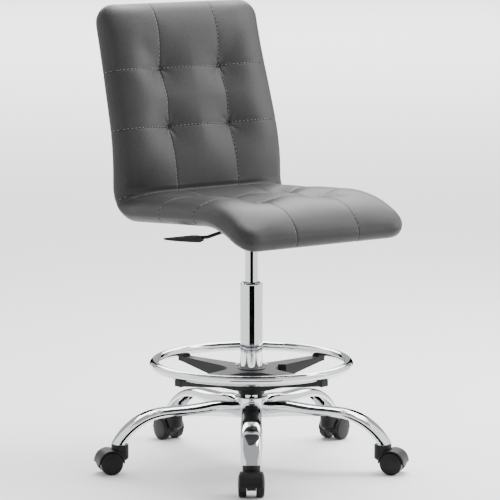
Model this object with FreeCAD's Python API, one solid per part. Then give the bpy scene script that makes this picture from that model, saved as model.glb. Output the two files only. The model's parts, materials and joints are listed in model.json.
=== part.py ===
import FreeCAD, Part
import math
import os

os.makedirs("parts", exist_ok=True)

# Drafting chair, in millimetres. The origin is on the floor under the column's axis, +Z is up,
# the sitter faces -Y, and +X is on the sitter's left.

# ---- named clearances ----
running_fit = 0.05
slide_fit = 0.10
free_gap = 0.6

# ---- five-arm base ----
arm_count = 5
first_arm_angle = -126.0
hub_wall = 12.0
hub_bottom = 114.0
hub_height = 41.0
hub_edge_round = 3.0
arm_wall = 2.0
arm_overlap_at_hub = 2.5
arm_width_at_tip = 48.0
arm_depth_at_hub = 38.0
arm_depth_at_tip = 17.0
arm_axis_height = 131.0
arm_bend_run = 109.0
arm_bend_radius = 135.0
arm_tip_bottom = 66.0
arm_squareness = 1.6
stem_circle_radius = 304.0

# ---- casters ----
wheel_radius = 25.0
wheel_width = 18.6
wheel_gap = 20.6
wheel_edge_round = 4.0
wheel_crown = 1.4
wheel_inner_chamfer = 1.0
wheel_cap_thickness = 3.5
axle_radius = 3.0
caster_trail = 24.0
hood_radius = 29.5
hood_width = 51.0
hood_wall = 3.1
hood_edge_round = 3.0
neck_radius = 19.2
neck_root_radius = 10.0
neck_edge_round = 2.0
neck_top = 64.0
neck_bottom = 33.0
hood_web_bottom = 19.0
stem_radius = 5.5
stem_length = 12.0
swivel_pin_length = 25.0
swivel_pin_radius = 4.0
swivel_pin_end_gap = 1.0
stem_collar_radius = 7.5
socket_radius = 9.5

# ---- gas lift ----
tube_radius = 25.0
tube_wall = 2.0
tube_top = 409.6
tube_inset = 2.0
rim_round = 4.5
bush_length = 60.0
bush_lip = 1.0
cylinder_radius = 14.0
cylinder_wall = 2.0
cylinder_bottom = 225.0
cylinder_cap = 8.0
seal_height = 18.0
taper_length = 24.0
taper_drop = 0.7
rod_radius = 5.0
rod_top = 400.0
piston_height = 14.0
rod_end_radius = 4.0
rod_end_beyond_clip = 1.0
rod_shoulder_radius = 12.0
bottom_plate_thickness = 4.0
race_thickness = 2.0
race_radius = 14.0
ball_radius = 3.5
ball_count = 10
ball_circle_radius = 10.0
rod_clip_radius = 7.5
rod_clip_thickness = 1.5

# ---- foot ring ----
ring_radius = 215.6
ring_tube_radius = 10.85
ring_tube_wall = 1.5
ring_height = 227.5
spider_first_angle = -81.0
spider_arm_count = 4
spider_top = 216.0
spider_wall = 3.0
spider_tip_radius = 223.0
spider_tip_half_width = 9.0
spider_root_radius = 70.0
spider_root_half_width = 24.0
spider_crotch = 38.0
spider_tip_depth = 10.0
spider_middle_depth = 27.0
spider_middle_radius = 113.0
spider_root_depth = 40.0
boss_wall = 13.0
boss_foot_wall = 4.5
boss_bottom = 160.0
boss_taper_top = 180.0
boss_lip = 1.0
boss_lip_height = 6.0
weld_overlap = 1.0
leg_half_width = 4.0
ring_bush_wall = 2.3
ring_bush_flange = 1.5
ring_bush_flange_width = 3.5
clip_length = 21.0
clip_half_width = 10.5
clip_bottom = 205.0
clip_corner = 2.0
clip_saddle = 2.4
clip_screw_bite = 4.5
clip_screw_radius = 2.5
screw_head_radius = 4.5
screw_head_height = 2.4
top_screw_set_off = 24.0
top_screw_angles = (13.0, 95.0)
top_screw_length = 22.0
lock_angle = -36.0
lock_axis_height = 192.0
lock_shaft_radius = 4.0
lock_shaft_gap = 1.5
lock_plate_round = 1.5
lock_plate_set_off = 34.0
lock_plate_width = 18.0
lock_plate_thickness = 5.0
lock_plate_bottom = 174.0
lock_plate_top = 225.0

# ---- seat and back shell ----
shell_width = 448.0
shell_thickness = 58.0
shell_edge_round = 24.0
cover_thickness = 1.2
seat_height = 581.5
seat_slope = 4.0
seat_rear_length = 145.0
seat_front_length = 110.0
waterfall_radius = 240.0
waterfall_turn = 37.0
corner_radius = 50.0
back_lower_length = 30.0
lumbar_radius = 470.0
lumbar_turn = 13.7
back_upper_length = 240.0
back_recline = 16.2
board_thickness = 12.0
board_margin = 34.0
tuft_column = 81.5
back_tuft_drops = (129.0, 261.0)
seat_tuft_fronts = (-8.0, 122.0)
tie_radius = 1.5

# ---- seat mechanism ----
plate_width = 170.0
plate_length = 190.0
plate_thickness = 3.0
plate_corner = 14.0
bolt_half_spacing = 70.0
bolt_radius = 3.0
bolt_head_radius = 5.5
bolt_head_height = 4.0
tee_nut_radius = 5.0
tee_flange_radius = 9.0
tee_flange_thickness = 1.2
housing_half_length = 47.0
housing_half_width = 28.0
housing_bottom = 514.0
housing_wall = 2.5
socket_wall = 6.0
socket_drop = 12.0
lever_height = 537.0
lever_pivot_x = -36.0
lever_inner_x = 8.0
lever_bend_x = -118.0
lever_outer_height = 519.8
lever_rod_radius = 4.0
lever_bend_radius = 20.0
lever_boss_radius = 7.0
lever_boss_half_width = 5.0
lever_pin_radius = 2.5
lever_pin_stand_out = 1.5
lever_slot_half_width = 6.5
lever_slot_height = 21.0
lever_slot_share_below = 0.6
paddle_inner_x = -141.0
paddle_tip_x = -232.0
paddle_top = 525.4
paddle_depth = 14.4
paddle_half_width = 12.5
paddle_tip_thickness = 2.2
paddle_belly_share = 0.36
paddle_root_length = 7.0
paddle_root_half_width = 9.0
collar_length = 9.0
collar_radius = 6.5
collar_drop = 2.0
collar_overlap = 1.0
release_pin_radius = 4.0
release_pin_length = 28.0
lever_play = 0.4


def vec(x, y, z):
    return FreeCAD.Vector(x, y, z)


UP = vec(0, 0, 1)
ORIGIN = vec(0, 0, 0)


def rod(radius, start, end):
    """A round bar between two points."""
    return Part.makeCylinder(radius, (end - start).Length, start, end - start)


def upright(radius, low, high, x=0.0, y=0.0):
    """A round bar standing between two heights."""
    return rod(radius, vec(x, y, low), vec(x, y, high))


def block(low, high):
    """A box between two corners."""
    size = high - low
    return Part.makeBox(size.x, size.y, size.z, low)


def lathe(points, centre=ORIGIN, axis=UP, across=vec(1, 0, 0)):
    """Turns a closed outline of (radius, height along the axis) points about the axis."""
    corners = [centre + across * r + axis * h for r, h in points]
    face = Part.Face(Part.makePolygon(corners + corners[:1]))
    return face.revolve(centre, axis, 360)


def turned(shape, angle):
    """A copy turned about the column's axis."""
    copy = shape.copy()
    copy.rotate(ORIGIN, UP, angle)
    return copy


def around(shape, angles):
    """Copies of a shape turned to each angle."""
    return [turned(shape, angle) for angle in angles]


def save(name, shapes):
    """Writes one sub-part, a single piece or a group of like pieces."""
    pieces = shapes if isinstance(shapes, list) else [shapes]
    solids = [solid for piece in pieces for solid in piece.Solids]
    whole = solids[0] if len(solids) == 1 else Part.makeCompound(solids)
    whole.exportStep("parts/" + name + ".step")


def rounded(shape, radius, wanted):
    """Fillets the edges that the test picks."""
    return shape.makeFillet(radius, [edge for edge in shape.Edges if wanted(edge)])


# ---------------------------------------------------------------- base
arm_angles = [first_arm_angle + 360.0 / arm_count * i for i in range(arm_count)]
hub_top = hub_bottom + hub_height
hub_radius = tube_radius + hub_wall
arm_straight_length = stem_circle_radius - arm_bend_run
arm_width_at_hub = 2.0 * hub_radius * math.sin(math.pi / arm_count) + arm_overlap_at_hub


def arch(width, rise, drop, station, slope):
    """The outline of one cross-section of an arm: a full arch on a straight foot."""
    out = vec(math.cos(slope), 0, math.sin(slope))
    normal = vec(-math.sin(slope), 0, math.cos(slope))
    points = []
    for step in range(13):
        angle = math.pi * step / 12
        side = math.copysign(abs(math.cos(angle)) ** (1 / arm_squareness), math.cos(angle))
        height = -drop + (rise + drop) * math.sin(angle) ** (1 / arm_squareness)
        points.append(station + vec(0, side * width / 2, 0) + normal * height)
    curve = Part.BSplineCurve()
    curve.interpolate(points)
    return Part.Wire([curve.toShape(), Part.LineSegment(points[-1], points[0]).toShape()])


def arm_sections(wall, extra_drop):
    """Cross-sections from the hub to the tip, drawn in by a wall and let down by an extra drop."""
    wires = []
    for share in (0.1, 0.36, 0.6, 0.84, 1.0):
        blend = (1 - math.cos(math.pi * share)) / 2
        width = arm_width_at_hub + (arm_width_at_tip - arm_width_at_hub) * blend
        depth = arm_depth_at_hub + (arm_depth_at_tip - arm_depth_at_hub) * blend
        station = vec(arm_straight_length * share, 0, arm_axis_height)
        wires.append(arch(width - 2 * wall, depth / 2 - wall, depth / 2 + extra_drop, station, 0))
    for degrees in (18, 36, 54, 72, 84):
        turn = math.radians(degrees)
        station = vec(
            arm_straight_length + arm_bend_radius * math.sin(turn),
            0,
            arm_axis_height - arm_bend_radius * (1 - math.cos(turn)),
        )
        half = arm_depth_at_tip / 2
        wires.append(arch(arm_width_at_tip - 2 * wall, half - wall, half + extra_drop, station, -turn))
    return wires


def arm_plan(wall):
    """The arm seen from above, straight with a half-round end about the caster's stem."""
    radius = arm_width_at_tip / 2 - wall
    top = arm_axis_height + arm_depth_at_hub
    tip = upright(radius, arm_tip_bottom, top, stem_circle_radius)
    bar = block(
        vec(0, -arm_width_at_tip, arm_tip_bottom), vec(stem_circle_radius, arm_width_at_tip, top)
    )
    return bar.fuse(tip)


def sector():
    """The fifth of the plan that belongs to one arm, so that neighbours meet in a mitre."""
    half_angle = math.pi / arm_count
    across = vec(math.cos(half_angle), math.sin(half_angle), 0) * 2 * stem_circle_radius
    plan = Part.makePolygon([ORIGIN, vec(across.x, -across.y, 0), across, ORIGIN])
    return Part.Face(plan).extrude(vec(0, 0, hub_top + hub_height))


arm_outside = Part.makeLoft(arm_sections(0.0, 0.0), True).common(arm_plan(0.0))
arm_inside = Part.makeLoft(arm_sections(arm_wall, arm_depth_at_tip), True).common(arm_plan(arm_wall))
hub_blank = upright(hub_radius, 0, hub_top + hub_height)
arm = arm_outside.cut(arm_inside).cut(hub_blank).common(sector())
arms = around(arm, arm_angles)

hub = rounded(
    upright(hub_radius, hub_bottom, hub_top),
    hub_edge_round,
    lambda edge: edge.BoundBox.ZMin > hub_top - 0.01,
)
hub = hub.cut(upright(tube_radius, 0, tube_top))
save("base_hub", hub)
for number, piece in enumerate(arms, 1):
    save("base_arm_%d" % number, piece)

# ---------------------------------------------------------------- caster sockets and stems
stem_low = neck_top - swivel_pin_length
collar_low = neck_top + free_gap
stem_high = arm_tip_bottom + stem_length
stem = upright(swivel_pin_radius, stem_low, collar_low, stem_circle_radius)
stem = stem.fuse(upright(stem_collar_radius, collar_low, arm_tip_bottom, stem_circle_radius))
stem = stem.fuse(upright(stem_radius, arm_tip_bottom, stem_high, stem_circle_radius)).removeSplitter()
socket = upright(socket_radius, arm_tip_bottom, tube_top, stem_circle_radius).common(arm_inside)
socket = socket.cut(stem)
save("caster_sockets", around(socket, arm_angles))
save("caster_stems", around(stem, arm_angles))

# ---------------------------------------------------------------- casters, trailing outwards
axle_x = stem_circle_radius + caster_trail
axle_centre = vec(axle_x, 0, wheel_radius)
ALONG_AXLE = vec(0, 1, 0)
wheel_inner = wheel_gap / 2
wheel_outer = wheel_inner + wheel_width
well_radius = hood_radius - hood_wall
web_half_width = wheel_inner - free_gap


def round_corner(radius, height, size, steps=5):
    """Points round an outer corner of a lathe outline, from its side face to its end face."""
    turns = [math.pi / 2 * step / steps for step in range(steps + 1)]
    return [
        (radius - size * (1 - math.cos(t)), height - size * (1 - math.sin(t))) for t in turns
    ]


def disc_along_axle(radius, low, high):
    return rod(radius, axle_centre + ALONG_AXLE * low, axle_centre + ALONG_AXLE * high)


hood_half = hood_width / 2
hood_corner = round_corner(hood_radius, hood_half, hood_edge_round)
hood_outline = [(0, -hood_half)] + [(r, -h) for r, h in reversed(hood_corner)] + hood_corner
hood = lathe(hood_outline + [(0, hood_half)], axle_centre, ALONG_AXLE)
hood = hood.common(block(vec(0, -hood_half, wheel_radius), vec(axle_x * 2, hood_half, neck_top)))
neck = lathe(
    [(0, wheel_radius), (neck_root_radius, wheel_radius), (neck_radius, neck_bottom)]
    + round_corner(neck_radius, neck_top, neck_edge_round)
    + [(0, neck_top)],
    vec(stem_circle_radius, 0, 0),
)
bridge = block(
    vec(stem_circle_radius, -neck_radius, neck_bottom),
    vec(axle_x, neck_radius, wheel_radius + hood_radius - hood_wall),
)
web = disc_along_axle(well_radius, -web_half_width, web_half_width)
web = web.common(
    block(vec(0, -hood_half, hood_web_bottom), vec(axle_x * 2, hood_half, neck_top))
)
hood = hood.fuse([neck, bridge])
hood = hood.cut(disc_along_axle(well_radius, web_half_width, hood_half * 2))
hood = hood.cut(disc_along_axle(well_radius, -hood_half * 2, -web_half_width))
hood = hood.fuse(web).removeSplitter()
hood = hood.cut(disc_along_axle(axle_radius, -hood_half, hood_half))
swivel_hole_low = stem_low - swivel_pin_end_gap
hood = hood.cut(
    upright(swivel_pin_radius + running_fit, swivel_hole_low, neck_top, stem_circle_radius)
)
axle_half = wheel_outer - wheel_cap_thickness
axle = disc_along_axle(axle_radius, -axle_half, axle_half)

face_round = round_corner(wheel_radius, wheel_outer - wheel_crown, wheel_edge_round)
wheel_outline = [
    (axle_radius + running_fit, wheel_inner),
    (wheel_radius - wheel_inner_chamfer, wheel_inner),
    (wheel_radius, wheel_inner + wheel_inner_chamfer),
]
wheel_outline += face_round
wheel_outline += [(wheel_radius / 2, wheel_outer - wheel_crown / 4), (0, wheel_outer)]
wheel_outline += [(0, axle_half + free_gap), (axle_radius + running_fit, axle_half + free_gap)]
wheel_left = lathe(wheel_outline, axle_centre, ALONG_AXLE)
wheel_right = lathe(wheel_outline, axle_centre, -ALONG_AXLE)

caster_pieces = {
    "caster_hood": hood,
    "caster_axle": axle,
    "wheel_left": wheel_left,
    "wheel_right": wheel_right,
}
for number, angle in enumerate(arm_angles, 1):
    for name, piece in caster_pieces.items():
        save("%s_%d" % (name, number), turned(piece, angle))

# ---------------------------------------------------------------- gas lift
tube_bottom = hub_bottom + tube_inset
tube_bore = tube_radius - tube_wall
rim = round_corner(tube_radius, tube_top, rim_round)
rim_inner = tube_radius - rim_round
tube = lathe(
    [(tube_bore, tube_bottom), (tube_radius, tube_bottom)]
    + rim
    + [(rim_inner, tube_top - tube_wall), (tube_bore, tube_top - rim_round)]
)
bush_bore = cylinder_radius + running_fit
bush_top = tube_top - rim_round
bush = lathe(
    [
        (bush_bore, bush_top - bush_length),
        (tube_bore, bush_top - bush_length),
        (tube_bore, bush_top),
        (rim_inner, tube_top - tube_wall),
        (rim_inner - bush_lip, tube_top - tube_wall),
        (bush_bore, tube_top - tube_wall - bush_lip),
    ]
)
save("stand_tube", tube)
save("guide_bush", bush)

plate_top = tube_bottom + bottom_plate_thickness + tube_inset
bottom_plate = upright(tube_bore, plate_top - bottom_plate_thickness, plate_top)
rod_end_bore = rod_end_radius + running_fit
bottom_plate = bottom_plate.cut(upright(rod_end_bore, 0, tube_top))
lower_race = upright(race_radius, plate_top, plate_top + race_thickness)
lower_race = lower_race.cut(upright(rod_radius, 0, tube_top))
ball_height = plate_top + race_thickness + ball_radius
ball = Part.makeSphere(ball_radius, vec(ball_circle_radius, 0, ball_height))
balls = around(ball, [360.0 / ball_count * i for i in range(ball_count)])
upper_race_low = ball_height + ball_radius + free_gap / 2
shoulder_height = upper_race_low + race_thickness
upper_race = upright(race_radius, upper_race_low, shoulder_height)
upper_race = upper_race.cut(upright(rod_radius, 0, tube_top))
save("bottom_plate", bottom_plate)
save("lower_race", lower_race)
save("bearing_balls", balls)
save("upper_race", upper_race)

cylinder_bore = cylinder_radius - cylinder_wall
rod_shank_low = plate_top + race_thickness + free_gap
clip_top = plate_top - bottom_plate_thickness - free_gap
clip_low = clip_top - rod_clip_thickness
piston_rod = upright(rod_end_radius, clip_low - rod_end_beyond_clip, rod_shank_low)
piston_rod = piston_rod.fuse(
    [
        upright(rod_radius, rod_shank_low, rod_top),
        upright(rod_shoulder_radius, shoulder_height, shoulder_height + race_thickness),
        upright(cylinder_bore - slide_fit, rod_top - piston_height, rod_top),
    ]
).removeSplitter()
rod_clip = upright(rod_clip_radius, clip_low, clip_top).cut(upright(rod_end_radius, 0, tube_top))
save("piston_rod", piston_rod)
save("rod_clip", rod_clip)

lever_bottom = lever_height - lever_rod_radius
pin_top = lever_bottom - lever_play
cylinder_top = housing_bottom - socket_drop + taper_length
socket_low = cylinder_top - taper_length
taper = lathe(
    [
        (0, socket_low),
        (cylinder_radius, socket_low),
        (cylinder_radius - taper_drop, cylinder_top),
        (0, cylinder_top),
    ]
)
cylinder = upright(cylinder_radius, cylinder_bottom, socket_low).fuse(taper).removeSplitter()
cylinder = cylinder.cut(upright(cylinder_bore, 0, cylinder_top - cylinder_cap))
cylinder = cylinder.cut(upright(release_pin_radius + running_fit, 0, lever_height))
seal = upright(cylinder_bore, cylinder_bottom, cylinder_bottom + seal_height)
seal = seal.cut(upright(rod_radius + running_fit, 0, tube_top))
release_pin = upright(release_pin_radius, pin_top - release_pin_length, pin_top)
save("gas_cylinder", cylinder)
save("rod_seal", seal)
save("release_pin", release_pin)

# ---------------------------------------------------------------- foot ring and its carrier
spider_angles = [spider_first_angle + 360.0 / spider_arm_count * i for i in range(spider_arm_count)]
spider_step = math.radians(360.0 / spider_arm_count)
boss_radius = tube_radius + boss_wall
boss_foot_radius = tube_radius + boss_foot_wall
top_screw_circle = tube_radius + top_screw_set_off
lock_plate_inner = tube_radius + lock_plate_set_off
lock_plate_outer = lock_plate_inner + lock_plate_width


def in_plan(radial, side, angle, height):
    """A point a given distance out along a direction and to its left."""
    c, s = math.cos(angle), math.sin(angle)
    return vec(radial * c - side * s, radial * s + side * c, height)


def star(inset, low, high):
    """The carrier's plan, straight arms joined by hollow curves, drawn in by a wall."""
    edges = []
    tip, tip_half = spider_tip_radius - inset, spider_tip_half_width - inset
    root, root_half = spider_root_radius, spider_root_half_width - inset
    hollow = (spider_crotch - inset) * math.sqrt(2)
    for i in range(spider_arm_count):
        angle = spider_step * i
        following = angle + spider_step
        right_root = in_plan(root, -root_half, angle, low)
        right_tip = in_plan(tip, -tip_half, angle, low)
        left_tip = in_plan(tip, tip_half, angle, low)
        left_root = in_plan(root, root_half, angle, low)
        middle = in_plan(hollow, 0, angle + spider_step / 2, low)
        next_root = in_plan(root, -root_half, following, low)
        edges += [
            Part.LineSegment(right_root, right_tip).toShape(),
            Part.LineSegment(right_tip, left_tip).toShape(),
            Part.LineSegment(left_tip, left_root).toShape(),
            Part.Arc(left_root, middle, next_root).toShape(),
        ]
    return Part.Face(Part.Wire(edges)).extrude(vec(0, 0, high - low))


skirt_outline = [
    (0, spider_top - spider_root_depth),
    (spider_root_radius, spider_top - spider_root_depth),
    (spider_middle_radius, spider_top - spider_middle_depth),
    (spider_tip_radius + spider_wall, spider_top - spider_tip_depth),
    (spider_tip_radius + spider_wall, spider_top),
    (0, spider_top),
]
bush_outer = tube_radius + slide_fit + ring_bush_wall
web_low = spider_top - spider_wall
spider = star(0.0, boss_bottom, spider_top).common(lathe(skirt_outline))
spider = spider.cut(star(spider_wall, boss_bottom, web_low))
boss = lathe(
    [
        (0, boss_bottom),
        (boss_foot_radius, boss_bottom),
        (boss_foot_radius + boss_lip, boss_bottom + boss_lip_height),
        (boss_radius - boss_lip, boss_taper_top),
        (boss_radius, web_low),
        (0, web_low),
    ]
)
leg_low = hub_top + free_gap / 2
leg = block(
    vec(tube_radius + free_gap, -leg_half_width, leg_low),
    vec(boss_foot_radius, leg_half_width, boss_bottom + weld_overlap),
)
legs = around(leg, [360.0 / spider_arm_count * i for i in range(spider_arm_count)])
spider = spider.fuse([boss] + legs)
spider = turned(spider, spider_first_angle)
post_low = spider_top - top_screw_length - spider_wall
screw_post = upright(screw_head_radius + spider_wall, post_low, web_low, top_screw_circle)
spider = spider.fuse(around(screw_post, top_screw_angles))
top_screw = upright(clip_screw_radius, spider_top - top_screw_length, spider_top, top_screw_circle)
top_screw = top_screw.fuse(
    upright(screw_head_radius, spider_top, spider_top + screw_head_height, top_screw_circle)
)
top_screws = around(top_screw, top_screw_angles)
spider = spider.cut(upright(bush_outer, boss_bottom, ring_height)).cut(top_screws)
spider = spider.cut(upright(tube_radius + free_gap, 0, boss_bottom))

ring = Part.makeTorus(ring_radius, ring_tube_radius, vec(0, 0, ring_height))
clip_top_height = ring_height - ring_tube_radius + clip_saddle
clip = block(
    vec(ring_radius - clip_length / 2, -clip_half_width, clip_bottom),
    vec(ring_radius + clip_length / 2, clip_half_width, clip_top_height),
)
clip = rounded(clip, clip_corner, lambda edge: edge.BoundBox.ZLength > 1.0)
clip_screw_top = ring_height - ring_tube_radius + clip_screw_bite
clip_screw = upright(clip_screw_radius, clip_bottom, clip_screw_top, ring_radius)
clip_screw = clip_screw.fuse(
    upright(screw_head_radius, clip_bottom - screw_head_height, clip_bottom, ring_radius)
)
clip_screws = around(clip_screw, spider_angles)
spider = spider.cut(clip_screws)
clips = [piece.cut([spider, ring]).cut(clip_screws) for piece in around(clip, spider_angles)]
ring = ring.cut(Part.makeTorus(ring_radius, ring_tube_radius - ring_tube_wall, vec(0, 0, ring_height)))
ring = ring.cut(clip_screws)

shaft_inner = boss_foot_radius + lock_shaft_gap
shaft = rod(
    lock_shaft_radius, vec(shaft_inner, 0, lock_axis_height), vec(lock_plate_inner, 0, lock_axis_height)
)
lock_plate = block(
    vec(lock_plate_inner, -lock_plate_thickness / 2, lock_plate_bottom),
    vec(lock_plate_outer, lock_plate_thickness / 2, lock_plate_top),
)
lock_plate = rounded(lock_plate, lock_plate_round, lambda edge: edge.BoundBox.XLength > 1.0)
lock_lever = turned(lock_plate.fuse(shaft), lock_angle)
shaft_hole = rod(
    lock_shaft_radius + running_fit,
    vec(shaft_inner - free_gap, 0, lock_axis_height),
    vec(lock_plate_outer, 0, lock_axis_height),
)
spider = spider.cut(turned(shaft_hole, lock_angle))

ring_bush = upright(bush_outer, boss_bottom, spider_top)
flange_radius = bush_outer + ring_bush_flange_width
ring_bush = ring_bush.fuse(upright(flange_radius, spider_top, spider_top + ring_bush_flange))
ring_bush = ring_bush.cut(upright(tube_radius + slide_fit, 0, tube_top))
save("foot_ring", ring)
save("ring_spider", spider)
save("ring_bush", ring_bush)
save("ring_clips", clips)
save("clip_screws", clip_screws)
save("ring_screws", top_screws)
save("ring_lock_lever", lock_lever)


# ---------------------------------------------------------------- seat and back shell
def shell_runs(trim):
    """Runs of the shell's middle line from the back's top to the seat's front lip.

    Each is (straight length, bend radius, turn in degrees, left positive), with both ends
    drawn in by the trim."""
    corner_turn = 90.0 + seat_slope - back_recline + lumbar_turn
    return [
        (back_upper_length - trim, 0, 0),
        (0, lumbar_radius, lumbar_turn),
        (back_lower_length, 0, 0),
        (0, corner_radius, -corner_turn),
        (seat_rear_length + seat_front_length, 0, 0),
        (0, waterfall_radius, waterfall_turn - math.degrees(trim / waterfall_radius)),
    ]


def left_of(heading):
    """The unit direction to the left of travel: behind the back and under the seat."""
    return vec(0, -math.sin(heading), math.cos(heading))


def ahead(heading):
    return vec(0, math.cos(heading), math.sin(heading))


def walk(runs, start, heading):
    """Places and headings at the ends and the middle of each run."""
    marks = []
    place = start
    for length, radius, turn in runs:
        if radius:
            sign = math.copysign(1, turn)
            centre = place + left_of(heading) * radius * sign
            middle = heading + math.radians(turn) / 2
            after = heading + math.radians(turn)
            halfway = (centre - left_of(middle) * radius * sign, middle)
            finish = (centre - left_of(after) * radius * sign, after)
        else:
            halfway = (place + ahead(heading) * length / 2, heading)
            finish = (place + ahead(heading) * length, heading)
        marks.append(((place, heading), halfway, finish, bool(radius)))
        place, heading = finish
    return marks


def shell_marks(trim):
    """The middle line placed so that its seat run passes through the seat height at the column."""
    runs = shell_runs(trim)
    heading = math.radians(270.0 - back_recline)
    loose = walk(runs, ORIGIN, heading)
    slope = math.radians(seat_slope)
    seat_rear = vec(0, seat_rear_length * math.cos(slope), -seat_rear_length * math.sin(slope))
    seat_rear += vec(0, 0, seat_height)
    return walk(runs, seat_rear - loose[4][0][0], heading)


def offset_edges(marks, offset):
    """The middle line's edges, moved to its left."""
    edges = []
    for start, halfway, finish, curved in marks:
        a, b, c = [place + left_of(heading) * offset for place, heading in (start, halfway, finish)]
        edges.append((Part.Arc(a, b, c) if curved else Part.LineSegment(a, c)).toShape())
    return edges


def bent_sheet(thickness, width, trim, round_ends):
    """A sheet bent along the middle line, with half-round or square ends."""
    marks = shell_marks(trim)
    half = thickness / 2
    ends = []
    for (place, heading), sign in ((marks[-1][2], 1), (marks[0][0], -1)):
        a = place + left_of(heading) * half
        b = place - left_of(heading) * half
        nose = place + ahead(heading) * half * sign
        ends.append((Part.Arc(a, nose, b) if round_ends else Part.LineSegment(a, b)).toShape())
    edges = offset_edges(marks, half) + ends + offset_edges(marks, -half)
    face = Part.Face(Part.Wire(Part.__sortEdges__(edges)))
    face.translate(vec(-width / 2, 0, 0))
    return face.extrude(vec(width, 0, 0))


def cushion(inset):
    """The whole upholstered shell, drawn in all round by an inset."""
    blank = bent_sheet(shell_thickness - 2 * inset, shell_width - 2 * inset, 0.0, True)
    return rounded(blank, shell_edge_round - inset, lambda edge: edge.BoundBox.XLength < 0.01)


def sitter_side():
    """Everything in front of and above the middle line."""
    marks = shell_marks(0.0)
    far = 2 * shell_width
    top, top_heading = marks[0][0]
    lip, lip_heading = marks[-1][2]
    above = top - ahead(top_heading) * far
    below = lip + ahead(lip_heading) * far
    corners = [lip, below, vec(0, below.y, above.z), above, top]
    sides = [Part.LineSegment(a, b).toShape() for a, b in zip(corners, corners[1:])]
    face = Part.Face(Part.Wire(Part.__sortEdges__(offset_edges(marks, 0.0) + sides)))
    face.translate(vec(-far / 2, 0, 0))
    return face.extrude(vec(far, 0, 0))


def tuft_ties():
    """Ties from the board to the dimples, in two columns on the back and on the seat."""
    marks = shell_marks(0.0)
    seat_rear, seat_heading = marks[4][0]
    stations = []
    for drop in back_tuft_drops:
        beyond = drop - back_upper_length
        if beyond <= 0:
            stations.append((marks[0][0][0] + ahead(marks[0][0][1]) * drop, marks[0][0][1]))
        else:
            turn = math.degrees(beyond / lumbar_radius)
            stations.append(walk([(0, lumbar_radius, turn)], *marks[1][0])[0][2])
    for front in seat_tuft_fronts:
        beyond = front - seat_front_length
        if beyond <= 0:
            stations.append((seat_rear + ahead(seat_heading) * (seat_rear_length + front), seat_heading))
        else:
            turn = math.degrees(beyond / waterfall_radius)
            stations.append(walk([(0, waterfall_radius, turn)], *marks[5][0])[0][2])
    ties = []
    for place, heading in stations:
        for x in (-tuft_column, tuft_column):
            foot = place - left_of(heading) * board_thickness / 2 + vec(x, 0, 0)
            head = place - left_of(heading) * (shell_thickness / 2 - cover_thickness) + vec(x, 0, 0)
            ties.append(rod(tie_radius, foot, head))
    return ties


def tilted(shape):
    """A copy carried from level about the column's axis to the seat's slope and height."""
    copy = shape.copy()
    copy.rotate(ORIGIN, vec(1, 0, 0), -seat_slope)
    copy.translate(vec(0, 0, seat_height))
    return copy


def tilted_round(radius, low, high):
    """Four round bars on the bolt pattern, square to the seat."""
    return [
        tilted(upright(radius, low, high, x, y))
        for x in (-bolt_half_spacing, bolt_half_spacing)
        for y in (-bolt_half_spacing, bolt_half_spacing)
    ]


def joined(first, second):
    return [a.fuse(b).removeSplitter() for a, b in zip(first, second)]


shell_under = -shell_thickness / 2
plate_under = shell_under - plate_thickness
board_half = board_thickness / 2

bolts = joined(
    tilted_round(bolt_radius, plate_under, board_half),
    tilted_round(bolt_head_radius, plate_under - bolt_head_height, plate_under),
)
nuts = joined(
    tilted_round(tee_nut_radius, -board_half, board_half),
    tilted_round(tee_flange_radius, board_half, board_half + tee_flange_thickness),
)
nuts = [nut.cut(bolts) for nut in nuts]

ties = tuft_ties()
board = bent_sheet(board_thickness, shell_width - 2 * board_margin, board_margin, False)
inner = cushion(cover_thickness)
cover = cushion(0.0).cut(inner).cut(bolts)
foam = inner.cut(board)
front_region = sitter_side()
front_foam = foam.common(front_region).cut(ties).cut(nuts)
rear_foam = foam.cut(front_region).cut(bolts)
board = board.cut(nuts).cut(bolts)
save("shell_board", board)
save("vinyl_cover", cover)
save("front_foam", front_foam)
save("rear_foam", rear_foam)
save("tuft_ties", ties)
save("plate_bolts", bolts)
save("tee_nuts", nuts)

# ---------------------------------------------------------------- seat mechanism
seat_plate = block(
    vec(-plate_width / 2, -plate_length / 2, plate_under),
    vec(plate_width / 2, plate_length / 2, shell_under),
)
seat_plate = rounded(
    seat_plate, plate_corner, lambda edge: edge.BoundBox.ZLength > plate_thickness - 0.01
)
seat_plate = tilted(seat_plate).cut(bolts)
over_plate = tilted(
    block(vec(-plate_width, -plate_length, plate_under), vec(plate_width, plate_length, plate_length))
)
housing = block(
    vec(-housing_half_length, -housing_half_width, housing_bottom),
    vec(housing_half_length, housing_half_width, seat_height),
)
hollow = block(
    vec(
        housing_wall - housing_half_length,
        housing_wall - housing_half_width,
        housing_bottom + housing_wall,
    ),
    vec(housing_half_length - housing_wall, housing_half_width - housing_wall, seat_height),
)
lever_slot_low = lever_height - lever_slot_height * lever_slot_share_below
lever_slot = block(
    vec(-2 * housing_half_length, -lever_slot_half_width, lever_slot_low),
    vec(lever_pivot_x, lever_slot_half_width, lever_slot_low + lever_slot_height),
)
socket_radius_outer = cylinder_radius + socket_wall
lever_pin = rod(
    lever_pin_radius,
    vec(lever_pivot_x, -housing_half_width - lever_pin_stand_out, lever_height),
    vec(lever_pivot_x, housing_half_width + lever_pin_stand_out, lever_height),
)
taper_socket = upright(socket_radius_outer, socket_low, cylinder_top).cut(taper)
housing = housing.cut(hollow).cut(over_plate).cut(lever_slot).cut(lever_pin)
housing = housing.cut(upright(socket_radius_outer, 0, cylinder_top))
save("seat_plate", seat_plate)
save("mechanism_housing", housing)
save("taper_socket", taper_socket)
save("lever_pin", lever_pin)


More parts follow.
